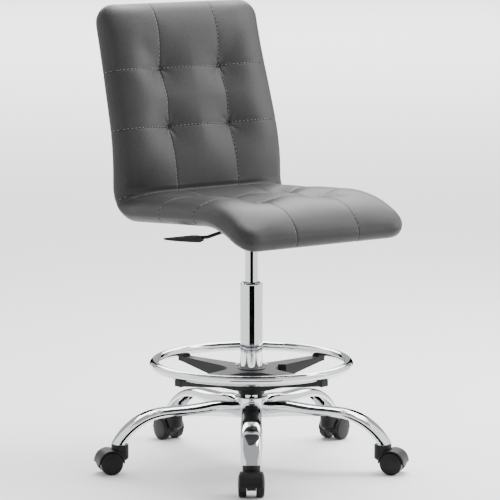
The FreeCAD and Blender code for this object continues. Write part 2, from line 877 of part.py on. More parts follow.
def bent_rod(corners, bend_radius, radius):
    """A round bar through the corners, with tangent bends."""
    edges = []
    place = corners[0]
    for before, corner, after in zip(corners, corners[1:], corners[2:]):
        come = (corner - before).normalize()
        leave = (after - corner).normalize()
        turn = come.getAngle(leave)
        set_back = bend_radius * math.tan(turn / 2)
        enter = corner - come * set_back
        leave_at = corner + leave * set_back
        inward = (leave - come).normalize()
        middle = corner + inward * bend_radius * (1 / math.cos(turn / 2) - 1)
        edges.append(Part.LineSegment(place, enter).toShape())
        edges.append(Part.Arc(enter, middle, leave_at).toShape())
        place = leave_at
    edges.append(Part.LineSegment(place, corners[-1]).toShape())
    start_face = Part.Wire(Part.makeCircle(radius, corners[0], corners[1] - corners[0]))
    return Part.Wire(edges).makePipeShell([start_face], True, True)


collar_x = paddle_inner_x + collar_length
rod_end_x = paddle_inner_x - (paddle_inner_x - paddle_tip_x) / 3
lever_rod = bent_rod(
    [
        vec(lever_inner_x, 0, lever_height),
        vec(lever_pivot_x, 0, lever_height),
        vec(lever_bend_x, 0, lever_outer_height),
        vec(rod_end_x, 0, lever_outer_height),
    ],
    lever_bend_radius,
    lever_rod_radius,
)
lever_boss = rod(
    lever_boss_radius,
    vec(lever_pivot_x, -lever_boss_half_width, lever_height),
    vec(lever_pivot_x, lever_boss_half_width, lever_height),
)
pin_hole = rod(
    lever_pin_radius + running_fit,
    vec(lever_pivot_x, -housing_half_width, lever_height),
    vec(lever_pivot_x, housing_half_width, lever_height),
)
lever_rod = lever_rod.fuse(lever_boss).cut(pin_hole)

paddle_low = paddle_top - paddle_depth
side_a = vec(paddle_inner_x, 0, paddle_low)
side_b = vec((paddle_inner_x + paddle_tip_x) / 2, 0, paddle_low + paddle_depth * paddle_belly_share)
side_c = vec(paddle_tip_x, 0, paddle_top - paddle_tip_thickness)
side_d = vec(paddle_tip_x, 0, paddle_top)
side_e = vec(paddle_inner_x, 0, paddle_top)
paddle_side = Part.Wire(
    [
        Part.Arc(side_a, side_b, side_c).toShape(),
        Part.LineSegment(side_c, side_d).toShape(),
        Part.LineSegment(side_d, side_e).toShape(),
        Part.LineSegment(side_e, side_a).toShape(),
    ]
)
paddle = Part.Face(paddle_side).extrude(vec(0, 2 * paddle_half_width, 0))
paddle.translate(vec(0, -paddle_half_width, 0))
paddle_plan = block(
    vec(paddle_tip_x + paddle_half_width, -paddle_half_width, paddle_low),
    vec(paddle_inner_x - paddle_root_length, paddle_half_width, paddle_top),
)
paddle_plan = paddle_plan.fuse(
    [
        upright(paddle_half_width, paddle_low, paddle_top, paddle_tip_x + paddle_half_width),
        block(
            vec(paddle_inner_x - paddle_root_length, -paddle_root_half_width, paddle_low),
            vec(paddle_inner_x, paddle_root_half_width, paddle_top),
        ),
    ]
)
paddle = paddle.common(paddle_plan)
collar_height = lever_outer_height - collar_drop
collar = rod(
    collar_radius,
    vec(paddle_inner_x - collar_overlap, 0, collar_height),
    vec(collar_x, 0, collar_height),
)
paddle = paddle.fuse(collar).cut(lever_rod)
save("lever_rod", lever_rod)
save("lever_paddle", paddle)
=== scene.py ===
import json
import math

import bpy
import numpy as np
from mathutils import Euler, Matrix, Vector
from mathutils.bvhtree import BVHTree

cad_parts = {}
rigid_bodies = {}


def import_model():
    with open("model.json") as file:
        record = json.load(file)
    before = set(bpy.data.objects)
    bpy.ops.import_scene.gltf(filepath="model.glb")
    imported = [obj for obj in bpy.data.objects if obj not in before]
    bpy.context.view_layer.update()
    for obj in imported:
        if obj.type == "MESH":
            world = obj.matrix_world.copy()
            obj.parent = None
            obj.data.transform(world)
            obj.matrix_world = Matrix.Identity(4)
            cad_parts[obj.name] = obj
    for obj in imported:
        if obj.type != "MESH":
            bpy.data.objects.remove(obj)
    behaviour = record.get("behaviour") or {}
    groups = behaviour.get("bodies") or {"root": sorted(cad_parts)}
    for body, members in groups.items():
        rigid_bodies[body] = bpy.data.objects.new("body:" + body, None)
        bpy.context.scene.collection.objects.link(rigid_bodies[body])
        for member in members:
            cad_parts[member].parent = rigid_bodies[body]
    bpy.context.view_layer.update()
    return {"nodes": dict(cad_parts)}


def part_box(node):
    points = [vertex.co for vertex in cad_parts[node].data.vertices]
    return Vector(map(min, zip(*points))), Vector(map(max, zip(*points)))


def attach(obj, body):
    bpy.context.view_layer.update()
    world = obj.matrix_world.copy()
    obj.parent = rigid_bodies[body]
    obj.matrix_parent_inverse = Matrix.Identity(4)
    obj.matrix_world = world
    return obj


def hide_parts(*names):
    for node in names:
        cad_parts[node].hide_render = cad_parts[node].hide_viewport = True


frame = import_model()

mm = 0.001
nodes = frame["nodes"]
scene = bpy.context.scene


# ---- Camera ----
# A long lens, a little above seat height, looking at the chair's front and the sitter's right side.
camera_turn = math.radians(36.0)
camera_pitch = 0.144
camera_reach = 6.1555
camera_height = 1.3738
lens_in_frames = 5.6276
camera_data = bpy.data.cameras.new("camera")
camera_data.sensor_width = 36.0
camera_data.lens = lens_in_frames * camera_data.sensor_width
camera_data.shift_x = -0.0028
camera_data.clip_end = 100.0
camera = bpy.data.objects.new("camera", camera_data)
camera.location = (
    -camera_reach * math.sin(camera_turn),
    -camera_reach * math.cos(camera_turn),
    camera_height,
)
camera.rotation_euler = Euler((math.pi / 2 - camera_pitch, 0, -camera_turn))
scene.collection.objects.link(camera)
scene.camera = camera


# ---- Finishes: the helpers that every material below is made with ----
def linear(hex_colour, alpha=1.0):
    """An sRGB hex colour as linear numbers."""
    parts = [int(hex_colour[i : i + 2], 16) / 255 for i in (1, 3, 5)]
    return [p / 12.92 if p <= 0.04045 else ((p + 0.055) / 1.055) ** 2.4 for p in parts] + [alpha]


def add(tree, kind, inputs=None, **settings):
    """One node, with its settings, and with each input a value or another node's output."""
    made = tree.nodes.new("ShaderNode" + kind)
    for name, value in settings.items():
        setattr(made, name, value)
    for name, value in (inputs or {}).items():
        if isinstance(value, bpy.types.NodeSocket):
            tree.links.new(value, made.inputs[name])
        else:
            made.inputs[name].default_value = value
    return made


def finish_named(name):
    """An empty material and its tree, its surface ready to be linked."""
    material = bpy.data.materials.new(name)
    material.use_nodes = True
    material.node_tree.nodes.clear()
    return material, material.node_tree


def between(tree, share, low, high):
    """A colour that lies between two hex colours by a share."""
    mixed = add(tree, "MixRGB", {"Fac": share, "Color1": linear(low), "Color2": linear(high)})
    return mixed.outputs[0]


def close(tree, shader):
    """Links the shader that a finish ends in to its surface."""
    add(tree, "OutputMaterial", {"Surface": shader.outputs[0]})


def coat(material, *names):
    """Gives a finish to CAD pieces, in their own material slots."""
    for name in names:
        slots = nodes[name].material_slots
        for each in slots:
            each.material = material


def clear_selection():
    for each in scene.objects:
        each.select_set(False)


clear_selection()


# ---- Studio ----
# A pale floor that runs far back, a soft white surround, two tall soft boxes, one overhead and a large
# one far behind. Boards round the chair, black in front and behind and lit white between, are seen only
# in the chrome, as a chromed product is usually lit.
bpy.ops.mesh.primitive_plane_add(size=60, location=(0, 0, 0))
floor = bpy.context.object
floor.name = "studio_floor"
floor_paint, tree = finish_named("floor_matt_white_paint")
mottle = add(tree, "TexNoise", {"Scale": 3.0, "Detail": 3.0})
tone = between(tree, mottle.outputs["Fac"], "#f4f4f4", "#f8f8f8")
paint = add(tree, "BsdfPrincipled", {"Base Color": tone, "Roughness": 0.9})
close(tree, paint)
floor.data.materials.append(floor_paint)

surround = bpy.data.worlds.new("surround")
surround.use_nodes = True
surround.node_tree.nodes["Background"].inputs["Color"].default_value = linear("#ffffff")
surround.node_tree.nodes["Background"].inputs["Strength"].default_value = 0.56
scene.world = surround


def beside_camera(right, back, height):
    """A place given from the chair as the camera sees it: to its right, behind it and up."""
    c, s = math.cos(camera_turn), math.sin(camera_turn)
    return (right * c + back * s, -right * s + back * c, height)


def facing(place, aim):
    """The turn of a light or a board at a place that looks at a point."""
    return (Vector(aim) - Vector(place)).to_track_quat("-Z", "Y").to_euler()


middle = (0, 0, 0.5)


def soft_box(name, place, aim, width, height, power):
    """A rectangular lamp at a place, turned to a point."""
    light = bpy.data.lights.new(name, "AREA")
    light.shape = "RECTANGLE"
    light.size = width
    light.size_y = height
    light.energy = power
    box = bpy.data.objects.new(name, light)
    box.location = place
    box.rotation_euler = facing(place, aim)
    scene.collection.objects.link(box)


soft_box("left_box", beside_camera(-3.0, -0.6, 1.7), middle, 1.6, 2.6, 34)
soft_box("right_box", beside_camera(2.8, 0.5, 1.8), middle, 1.4, 2.6, 130)
soft_box("top_box", beside_camera(0.5, 0.8, 3.0), middle, 2.4, 2.0, 150)
soft_box("back_box", beside_camera(0.0, 14.0, 9.0), beside_camera(0.0, 14.01, 0.0), 16.0, 14.0, 5200)


def card(name, bearing, reach, half_spread, low, high, face):
    """An upright board round the chair, at a bearing to the camera's right, seen only in reflections."""
    angle = math.radians(bearing)
    centre = (low + high) / 2
    place = beside_camera(reach * math.sin(angle), -reach * math.cos(angle), centre)
    bpy.ops.mesh.primitive_plane_add(size=1)
    board = bpy.context.object
    board.name = name
    board.scale = (2 * reach * math.tan(math.radians(half_spread)), high - low, 1)
    board.location = place
    board.rotation_euler = facing(place, (0, 0, centre))
    board.visible_camera = False
    board.visible_diffuse = False
    board.visible_shadow = False
    board.data.materials.append(face)


def card_face(name, low, high, glow):
    """Matt card, black or lit white."""
    material, tree = finish_named(name)
    nap = add(tree, "TexNoise", {"Scale": 60.0})
    tone = between(tree, nap.outputs["Fac"], low, high)
    close(tree, add(tree, "Emission", {"Color": tone, "Strength": glow}))
    return material


black_card = card_face("card_black_felt", "#060606", "#0b0b0b", 1.0)
white_card = card_face("card_lit_white", "#f6f6f6", "#ffffff", 1.7)
card("card_front", 5.0, 1.30, 27.0, 0.0, 0.50, black_card)
card("card_front_over", 5.0, 1.30, 27.0, 0.50, 1.1, white_card)
card("card_white_left", -49.0, 1.45, 29.0, 0.0, 1.8, white_card)
card("card_white_right", 59.0, 1.45, 29.0, 0.0, 1.8, white_card)
card("card_side_left", -106.0, 1.45, 26.0, 0.0, 1.8, white_card)
card("card_side_right", 113.0, 1.45, 24.0, 0.0, 1.8, white_card)
card("card_back_left", -157.0, 1.45, 6.0, 0.0, 0.8, black_card)
card("card_back_right", 157.0, 1.45, 6.0, 0.0, 0.8, black_card)
clear_selection()


# ---- Base, foot ring and column: chromed steel ----
# The arms are pressed from 2 mm sheet, the hub, stand tube, ring and lift cylinder are tube, all polished
# and nickel-chrome plated: mirror bright, with the faint ripple of polished sheet.
chrome, tree = finish_named("chrome_plate_on_polished_steel")
place = add(tree, "TexCoord")
ripple = add(tree, "TexNoise", {"Vector": place.outputs["Object"], "Scale": 18.0, "Detail": 1.0})
haze = add(tree, "TexNoise", {"Vector": place.outputs["Object"], "Scale": 420.0, "Detail": 4.0})
gloss = add(
    tree,
    "MapRange",
    {"Value": haze.outputs["Fac"], "To Min": 0.035, "To Max": 0.085},
)
swell = add(
    tree,
    "Bump",
    {"Height": ripple.outputs["Fac"], "Strength": 0.06, "Distance": 0.004},
)
plate = add(
    tree,
    "BsdfPrincipled",
    {
        "Base Color": linear("#dcdee0"),
        "Metallic": 1.0,
        "Roughness": gloss.outputs[0],
        "Normal": swell.outputs[0],
    },
)
close(tree, plate)
coat(chrome, "base_hub", "stand_tube", "foot_ring", "gas_cylinder")
coat(chrome, *["base_arm_%d" % i for i in range(1, 6)])


# ---- Turned and plated small steel ----
# Axles, stems, pins and races are ground bar with fine rings from the lathe; screws are zinc plated.
def steel(name, tint, roughness):
    """Bar or sheet steel with fine lathe rings."""
    material, tree = finish_named(name)
    place = add(tree, "TexCoord")
    rings = add(
        tree,
        "TexWave",
        {"Vector": place.outputs["Object"], "Scale": 900.0, "Distortion": 2.0},
        bands_direction="Z",
    )
    streak = add(tree, "TexNoise", {"Vector": place.outputs["Object"], "Scale": 260.0})
    polish = add(
        tree,
        "MapRange",
        {"Value": streak.outputs["Fac"], "To Min": roughness - 0.08, "To Max": roughness + 0.1},
    )
    cut = add(tree, "Bump", {"Height": rings.outputs["Fac"], "Strength": 0.05, "Distance": 0.0003})
    bar = add(
        tree,
        "BsdfPrincipled",
        {
            "Base Color": linear(tint),
            "Metallic": 1.0,
            "Roughness": polish.outputs[0],
            "Normal": cut.outputs[0],
        },
    )
    close(tree, bar)
    return material


ground_steel = steel("ground_bright_steel", "#b9babc", 0.26)
zinc = steel("zinc_plated_steel", "#c4c7cc", 0.34)
coat(ground_steel, "caster_stems", "piston_rod", "bearing_balls", "lower_race", "upper_race")
coat(ground_steel, "release_pin", "lever_pin", *["caster_axle_%d" % i for i in range(1, 6)])
coat(zinc, "caster_sockets", "bottom_plate", "rod_clip", "plate_bolts", "tee_nuts")
coat(zinc, "clip_screws", "ring_screws")


# ---- Black parts ----
# Casters, ring carrier, clips, bushes and lever paddle are glass-filled nylon from the mould: deep black
# with a fine spark grain that breaks the highlight. The mechanism is black powder-coated steel.
def black_finish(name, low, high, roughness, grain_mm, depth_mm):
    """A black moulded or coated surface, its grain given by width and depth."""
    material, tree = finish_named(name)
    place = add(tree, "TexCoord")
    grain = add(
        tree,
        "TexNoise",
        {"Vector": place.outputs["Object"], "Scale": 1.0 / (grain_mm * mm), "Detail": 3.0},
    )
    cloud = add(tree, "TexNoise", {"Vector": place.outputs["Object"], "Scale": 30.0, "Detail": 4.0})
    shade = between(tree, cloud.outputs["Fac"], low, high)
    sheen = add(
        tree,
        "MapRange",
        {"Value": grain.outputs["Fac"], "To Min": roughness - 0.07, "To Max": roughness + 0.09},
    )
    bump = add(
        tree,
        "Bump",
        {"Height": grain.outputs["Fac"], "Strength": 0.35, "Distance": depth_mm * mm},
    )
    body = add(
        tree,
        "BsdfPrincipled",
        {
            "Base Color": shade,
            "Roughness": sheen.outputs[0],
            "Normal": bump.outputs[0],
            "IOR": 1.53,
            "Specular IOR Level": 0.2,
        },
    )
    close(tree, body)
    return material


nylon = black_finish("glass_filled_nylon_spark_grain", "#0a0a0b", "#111112", 0.44, 0.7, 0.12)
tread_nylon = black_finish("nylon_wheel_smooth", "#080809", "#0f0f10", 0.38, 1.1, 0.05)
powder_coat = black_finish("black_powder_coat", "#0e0e0f", "#151516", 0.40, 1.4, 0.10)
coat(nylon, *["caster_hood_%d" % i for i in range(1, 6)])
coat(nylon, "ring_spider", "ring_clips", "ring_bush", "ring_lock_lever", "guide_bush")
coat(nylon, "lever_paddle", "rod_seal")
coat(tread_nylon, *["wheel_%s_%d" % (side, i) for side in ("left", "right") for i in range(1, 6)])
coat(powder_coat, "seat_plate", "mechanism_housing", "taper_socket", "lever_rod")


# ---- Shell board ----
# Hot-pressed beech plywood, hidden under the foam: pale brown with long grain.
plywood, tree = finish_named("beech_plywood")
place = add(tree, "TexCoord")
stretch = add(tree, "Mapping", {"Vector": place.outputs["Object"], "Scale": (40.0, 4.0, 4.0)})
grain = add(tree, "TexNoise", {"Vector": stretch.outputs[0], "Scale": 6.0, "Detail": 6.0})
wood_tone = between(tree, grain.outputs["Fac"], "#b08a5c", "#c9a577")
close(tree, add(tree, "BsdfPrincipled", {"Base Color": wood_tone, "Roughness": 0.6}))
coat(plywood, "shell_board")


# ---- Upholstered shell: its middle line ----
# One padded sheet, bent once between back and seat. It is cut, filled and sewn flat here, as the cover is,
# then bent on the same runs as the plywood: straights and bends from the back's top to the front lip.
shell_half = 29.0 * mm
shell_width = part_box("vinyl_cover")[1].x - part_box("vinyl_cover")[0].x
seat_height = 581.5 * mm
seat_slope = math.radians(4.0)
seat_rear_length = 145.0 * mm
back_upper_length = 240.0 * mm
back_lower_length = 30.0 * mm
seat_flat_length = 255.0 * mm
back_recline = math.radians(16.2)
lumbar_turn = math.radians(13.7)
lumbar_radius = 470.0 * mm
corner_turn = math.pi / 2 + seat_slope - back_recline + lumbar_turn
corner_radius = 50.0 * mm
front_turn = math.radians(37.0)
front_radius = 240.0 * mm
shell_runs = [
    (back_upper_length, 0.0),
    (lumbar_radius * lumbar_turn, lumbar_turn),
    (back_lower_length, 0.0),
    (corner_radius * corner_turn, -corner_turn),
    (seat_flat_length, 0.0),
    (front_radius * front_turn, front_turn),
]
corner_run = 3
shell_length = sum(length for length, _ in shell_runs)
to_corner = sum(length for length, _ in shell_runs[:corner_run])
to_seat = sum(length for length, _ in shell_runs[: corner_run + 1])


def along_shell(distance):
    """Place (y, z) and heading of the middle line at each distance from the back's top edge."""
    distance = np.asarray(distance, float)
    y = np.zeros_like(distance)
    z = np.zeros_like(distance)
    heading = np.full_like(distance, 1.5 * math.pi - back_recline)
    start, y0, z0, heading0 = 0.0, 0.0, 0.0, 1.5 * math.pi - back_recline
    seat_mark = None
    last = len(shell_runs) - 1
    for number, (length, turn) in enumerate(shell_runs):
        inside = distance >= start
        if number == 0:
            inside = np.ones_like(inside)
        run = distance[inside] - start
        if turn:
            radius = length / turn
            bend = np.minimum(run, length) / radius
            over = np.maximum(run - length, 0) if number == last else 0.0
            after = heading0 + bend
            y[inside] = y0 + radius * (np.sin(after) - math.sin(heading0)) + over * np.cos(after)
            z[inside] = z0 - radius * (np.cos(after) - math.cos(heading0)) + over * np.sin(after)
            heading[inside] = after
            y0 += radius * (math.sin(heading0 + turn) - math.sin(heading0))
            z0 -= radius * (math.cos(heading0 + turn) - math.cos(heading0))
            heading0 += turn
        else:
            y[inside] = y0 + run * math.cos(heading0)
            z[inside] = z0 + run * math.sin(heading0)
            heading[inside] = heading0
            y0 += length * math.cos(heading0)
            z0 += length * math.sin(heading0)
        start += length
        if number == corner_run:
            seat_mark = (y0, z0)
    y += seat_rear_length * math.cos(seat_slope) - seat_mark[0]
    z += seat_height - seat_rear_length * math.sin(seat_slope) - seat_mark[1]
    return y, z, heading


def read_points(mesh):
    points = np.empty(len(mesh.vertices) * 3)
    mesh.vertices.foreach_get("co", points)
    return points.reshape(-1, 3)


def write_points(mesh, points):
    mesh.vertices.foreach_set("co", np.ascontiguousarray(points).ravel())
    mesh.update()


def bend_to_shell(piece):
    """Bends a flat piece: X stays across, Y runs down the middle line, Z goes to its rear side."""
    points = read_points(piece.data)
    y, z, heading = along_shell(points[:, 1])
    bent = points.copy()
    bent[:, 1] = y - points[:, 2] * np.sin(heading)
    bent[:, 2] = z + points[:, 2] * np.cos(heading)
    write_points(piece.data, bent)


# ---- Upholstered shell: the padded body ----
# Moulded foam under stretched vinyl. Eight ties pull it down to the board in two columns, and the panels
# between them swell. The pad is blown up by a cloth simulation that is held at the ties and at the rear.
tuft_column = 81.5 * mm
tuft_rows = [129.0 * mm, 261.0 * mm, to_seat + 137.0 * mm, to_seat + 267.0 * mm]
tufts = [(side * tuft_column, row) for row in tuft_rows for side in (-1, 1)]
plan_corner = 46.0 * mm
skin_room = 1.5 * mm
slab_half = shell_half - skin_room
edge_round = 25.0 * mm
voxel = 6.0 * mm

bpy.ops.mesh.primitive_cube_add(size=1, location=(0, shell_length / 2, 0))
pad = bpy.context.object
pad.name = "padded_shell"
pad.scale = (shell_width - 2 * skin_room, shell_length + 2 * slab_half, 2 * slab_half)
bpy.ops.object.transform_apply(location=True, rotation=False, scale=True)


def select_edges(piece, wanted):
    """Picks edges of the piece in edit mode by a test on their two ends."""
    bpy.ops.object.mode_set(mode="EDIT")
    bpy.ops.mesh.select_all(action="DESELECT")
    bpy.ops.mesh.select_mode(type="EDGE")
    bpy.ops.object.mode_set(mode="OBJECT")
    points = piece.data.vertices
    for edge in piece.data.edges:
        a, b = (points[i].co for i in edge.vertices)
        edge.select = bool(wanted(a, b))
    bpy.ops.object.mode_set(mode="EDIT")


select_edges(pad, lambda a, b: abs(a.z - b.z) > mm)
bpy.ops.mesh.bevel(offset=plan_corner, segments=10, affect="EDGES")
bpy.ops.object.mode_set(mode="OBJECT")
select_edges(pad, lambda a, b: abs(a.z - b.z) < 0.1 * mm and abs(a.z) > slab_half - mm)
bpy.ops.mesh.bevel(offset=edge_round, segments=6, affect="EDGES")
bpy.ops.object.mode_set(mode="OBJECT")
remesh = pad.modifiers.new("even_mesh", "REMESH")
remesh.mode = "VOXEL"
remesh.voxel_size = voxel
bpy.ops.object.modifier_apply(modifier="even_mesh")


def near_tufts(x, s):
    """Distance to the nearest tuft, the direction from it, and its number."""
    away = np.stack([np.hypot(x - tx, s - ts) for tx, ts in tufts])
    nearest = away.argmin(0)
    centre = np.array(tufts)[nearest]
    return away.min(0), np.arctan2(s - centre[:, 1], x - centre[:, 0]), nearest


def front_share(t):
    """1 on the sitter's face, 0 on the rear face, turning over the sides."""
    return np.clip(0.5 - t / (1.7 * slab_half), 0, 1)


def on_front(t):
    """True well round on the sitter's face, where the ties pull."""
    return front_share(t) > 0.6


tuft_depth = 19.5 * mm
tuft_reach = 27.0 * mm
seat_tuft_spread = 0.3
deepest = 16.0 * mm
valley_depth = 8.5 * mm
valley_half = 19.0 * mm
valley_length = 66.0 * mm
crown = 10.0 * mm
crown_reach = 95.0 * mm
junction = (to_corner + to_seat) / 2
junction_depth = 11.0 * mm
junction_half = 17.0 * mm

points = read_points(pad.data)
x, s, t = points.T
reach, _, _ = near_tufts(x, s)
side_rise = np.sin(np.clip((shell_width / 2 - np.abs(x)) / crown_reach, 0, 1) * math.pi / 2)
from_end = np.minimum(s + slab_half, shell_length + slab_half - s)
end_rise = np.sin(np.clip(from_end / crown_reach, 0, 1) * math.pi / 2)
pull = crown * (1 - side_rise * end_rise)
to_row = np.min([np.abs(s - row) for row in tuft_rows], axis=0)
to_column = np.abs(np.abs(x) - tuft_column)
mouth = tuft_reach * (1 + seat_tuft_spread * (s > to_seat))
dimple = tuft_depth * np.exp(-((reach / mouth) ** 1.2))
dimple += valley_depth * np.exp(-to_column / valley_half) * np.exp(-((to_row / valley_length) ** 1.5))
dimple += valley_depth * np.exp(-to_row / valley_half) * np.exp(-((to_column / valley_length) ** 1.5))
# back and seat press together in the inside corner
dimple += junction_depth * np.exp(-((np.abs(s - junction) / junction_half) ** 1.3))
dimple = deepest * np.tanh(dimple / deepest)
points[:, 2] += (pull + dimple) * front_share(t)
write_points(pad.data, points)

# held hard at the ties, firmly at the rear face and loosely elsewhere
tie_grip = 11 * mm
rear_grip = 0.9
least_grip = 0.02
held = pad.vertex_groups.new(name="held")
tie_hold = np.exp(-((reach / tie_grip) ** 2)) * on_front(t)
rear_hold = np.clip((t / slab_half), 0, 1) * rear_grip
for number, weight in enumerate(np.maximum(tie_hold, rear_hold)):
    if weight > least_grip:
        held.add([number], float(weight), "REPLACE")

# the swell is evened out over the cover, and no point goes further than foam and vinyl would give
swell_frames = 20
evening_passes = 14
evening_share = 0.6
rear_swell = 2.0
front_swell = 8.0
sideways_share = 0.3
cloth = pad.modifiers.new("swell", "CLOTH")
cloth.settings.quality = 5
cloth.settings.mass = 0.4
cloth.settings.tension_stiffness = 22
cloth.settings.compression_stiffness = 10
cloth.settings.shear_stiffness = 8
cloth.settings.bending_stiffness = 0.6
cloth.settings.use_pressure = True
cloth.settings.uniform_pressure_force = 4.0
cloth.settings.vertex_group_mass = "held"
cloth.settings.pin_stiffness = 1.0
cloth.settings.effector_weights.gravity = 0
cloth.collision_settings.use_collision = False
scene.frame_start, scene.frame_end = 1, swell_frames
cloth.point_cache.frame_start, cloth.point_cache.frame_end = 1, swell_frames
for number in range(1, swell_frames + 1):
    scene.frame_set(number)
evaluated = pad.evaluated_get(bpy.context.evaluated_depsgraph_get())
swollen = read_points(evaluated.data)
pad.modifiers.remove(cloth)
scene.frame_set(1)
start = read_points(pad.data)
shift = swollen - start
ends = np.empty(len(pad.data.edges) * 2, dtype=np.int64)
pad.data.edges.foreach_get("vertices", ends)
a, b = ends.reshape(-1, 2).T
neighbours = np.maximum(np.bincount(np.concatenate((a, b)), minlength=len(start)), 1)[:, None]
for _ in range(evening_passes):
    total = np.zeros_like(shift)
    np.add.at(total, a, shift[b])
    np.add.at(total, b, shift[a])
    shift = (1 - evening_share) * shift + evening_share * total / neighbours
size = np.linalg.norm(shift, axis=1)
most = (rear_swell + front_swell * front_share(start[:, 2])) * mm
shift *= (most * np.tanh(size / most) / np.maximum(size, 1e-9))[:, None]
shift[:, :2] *= sideways_share
write_points(pad.data, start + shift)

fine = pad.modifiers.new("fine", "SUBSURF")
fine.levels = fine.render_levels = 1
bpy.ops.object.modifier_apply(modifier="fine")
bpy.ops.object.shade_smooth()


# ---- Upholstered shell: seams ----
# The cover is nine panels on each face, sewn edge to edge and top-stitched beside the joint. Each joint
# sinks as a narrow crease, and the rear panel is joined round the sides.
rear_joint = 21.0 * mm
crease_depth = 0.9 * mm
crease_half = 1.5 * mm
joint_shade_half = 0.8 * mm
side_seam_row = to_corner + 32.0 * mm
side_band = 34 * mm
steps_across = [d * mm for d in (-2.6, -1.1, 0, 1.1, 2.6)]
cuts = [((c + d, 0, 0), (1, 0, 0)) for c in (-tuft_column, tuft_column) for d in steps_across]
cuts += [((0, r + d, 0), (0, 1, 0)) for r in tuft_rows + [side_seam_row] for d in steps_across]
bpy.ops.object.mode_set(mode="EDIT")
for place, normal in cuts:
    bpy.ops.mesh.select_all(action="SELECT")
    bpy.ops.mesh.bisect(plane_co=place, plane_no=normal, use_fill=False, threshold=0.00002)
bpy.ops.object.mode_set(mode="OBJECT")


def read_normals(mesh):
    normals = np.empty(len(mesh.vertices) * 3)
    mesh.vertices.foreach_get("normal", normals)
    return normals.reshape(-1, 3)


points = read_points(pad.data)
x, s, t = points.T
sitter_face = t < rear_joint
side_only = np.abs(x) > shell_width / 2 - side_band
gap = np.full(len(points), 1.0)
for c in (-tuft_column, tuft_column):
    gap = np.minimum(gap, np.where(sitter_face, np.abs(x - c), 1.0))
for row in tuft_rows:
    gap = np.minimum(gap, np.where(sitter_face, np.abs(s - row), 1.0))
gap = np.minimum(gap, np.where(sitter_face & side_only, np.abs(s - side_seam_row), 1.0))
crease = np.exp(-((gap / crease_half) ** 1.4))
# short folds fan out from each tie, six broad ones and ten fine ones, turned from tuft to tuft
fold_height = 0.6 * mm
fold_ring = 14 * mm
fold_ring_half = 10 * mm
pinch_depth = 6.5 * mm
pinch_half = 7.5 * mm
reach, bearing, nearest = near_tufts(x, s)
folds = np.cos(bearing * 6 + nearest * 1.7) + 0.6 * np.cos(bearing * 10 + nearest * 2.9)
fold_rise = fold_height * folds * np.exp(-(((reach - fold_ring) / fold_ring_half) ** 2)) * on_front(t)
pinch = pinch_depth * np.exp(-reach / pinch_half) * on_front(t)
points += read_normals(pad.data) * (fold_rise - crease_depth * crease)[:, None]
points[:, 2] += pinch
write_points(pad.data, points)

# painted shade on the vinyl: a little darkening down in each joint crease, more round each tie, where shade
# falls in the dimple
shade_reach = np.where(s > to_seat, 15.0, 7.0) * mm
in_joint_shade = 0.6 * np.exp(-((gap / joint_shade_half) ** 2))
in_dimple_shade = 0.85 * np.exp(-((reach / shade_reach) ** 2)) * on_front(t)
shade = pad.data.attributes.new("seam_shade", "FLOAT", "POINT")
shade.data.foreach_set("value", np.maximum(in_joint_shade, in_dimple_shade).astype(np.float32))


# ---- Upholstered shell: the cut of the cover ----
# The panels are cut narrower toward the back's top and a touch narrower at the seat's front, and the seat's
# cross joints bow back toward the sides.
top_width_share = 0.974
corner_width_gain = 0.052
lip_width_loss = 0.014
lip_width_run = 200 * mm
bow_depth = 24 * mm
bow_start_run = 110 * mm
bow_end_run = 130 * mm


def smooth(value):
    """An even rise from 0 to 1."""
    value = np.clip(value, 0, 1)
    return value * value * (3 - 2 * value)


def tailor(points):
    """Flat cover points, moved as the panels are cut."""
    x, s, _ = points.T
    to_lip = smooth((s - to_seat) / lip_width_run)
    width = top_width_share + corner_width_gain * smooth(s / to_seat) - lip_width_loss * to_lip
    from_lip = shell_length + slab_half - s
    on_seat = smooth((s - to_seat) / bow_start_run) * smooth(from_lip / bow_end_run)
    bow = bow_depth * on_seat * smooth((np.abs(x) - tuft_column) / (shell_width / 2 - tuft_column))
    cut = points.copy()
    cut[:, 0] = x * width
    cut[:, 1] = s - bow
    return cut


# ---- Vinyl ----
# Calendered PVC leathercloth, mid grey: a fine pebble grain about a millimetre across, a satin sheen that
# widens over the swelled panels, faint mottling, and painted shade: darker lines down in the joints and
# darker patches round each tie.
vinyl, tree = finish_named("embossed_pvc_leathercloth")
place = add(tree, "TexCoord")
pebble = add(
    tree,
    "TexVoronoi",
    {"Vector": place.outputs["Object"], "Scale": 1.0 / (1.3 * mm)},
    feature="SMOOTH_F1",
)
fibre = add(
    tree,
    "TexNoise",
    {"Vector": place.outputs["Object"], "Scale": 1.0 / (2.2 * mm), "Detail": 4.0},
)
mottle = add(tree, "TexNoise", {"Vector": place.outputs["Object"], "Scale": 22.0, "Detail": 5.0})
base_tone = between(tree, mottle.outputs["Fac"], "#2c2c2d", "#343435")
grain_tone = add(
    tree,
    "MixRGB",
    {"Fac": 0.5, "Color1": base_tone, "Color2": fibre.outputs["Fac"]},
    blend_type="SOFT_LIGHT",
)
# painted shade: the seam_shade attribute mixes the vinyl toward near black in the joint creases and in the
# dimples round each tie
painted_shade_share = add(tree, "Attribute", attribute_name="seam_shade")
painted_shade_tone = add(
    tree,
    "MixRGB",
    {
        "Fac": painted_shade_share.outputs["Fac"],
        "Color1": grain_tone.outputs[0],
        "Color2": linear("#141415"),
    },
)
satin = add(tree, "MapRange", {"Value": fibre.outputs["Fac"], "To Min": 0.34, "To Max": 0.48})
emboss = add(
    tree,
    "Bump",
    {"Height": pebble.outputs["Distance"], "Strength": 0.28, "Distance": 0.00022},
)
soft_emboss = add(
    tree,
    "Bump",
    {
        "Height": fibre.outputs["Fac"],
        "Strength": 0.5,
        "Distance": 0.0006,
        "Normal": emboss.outputs[0],
    },
)
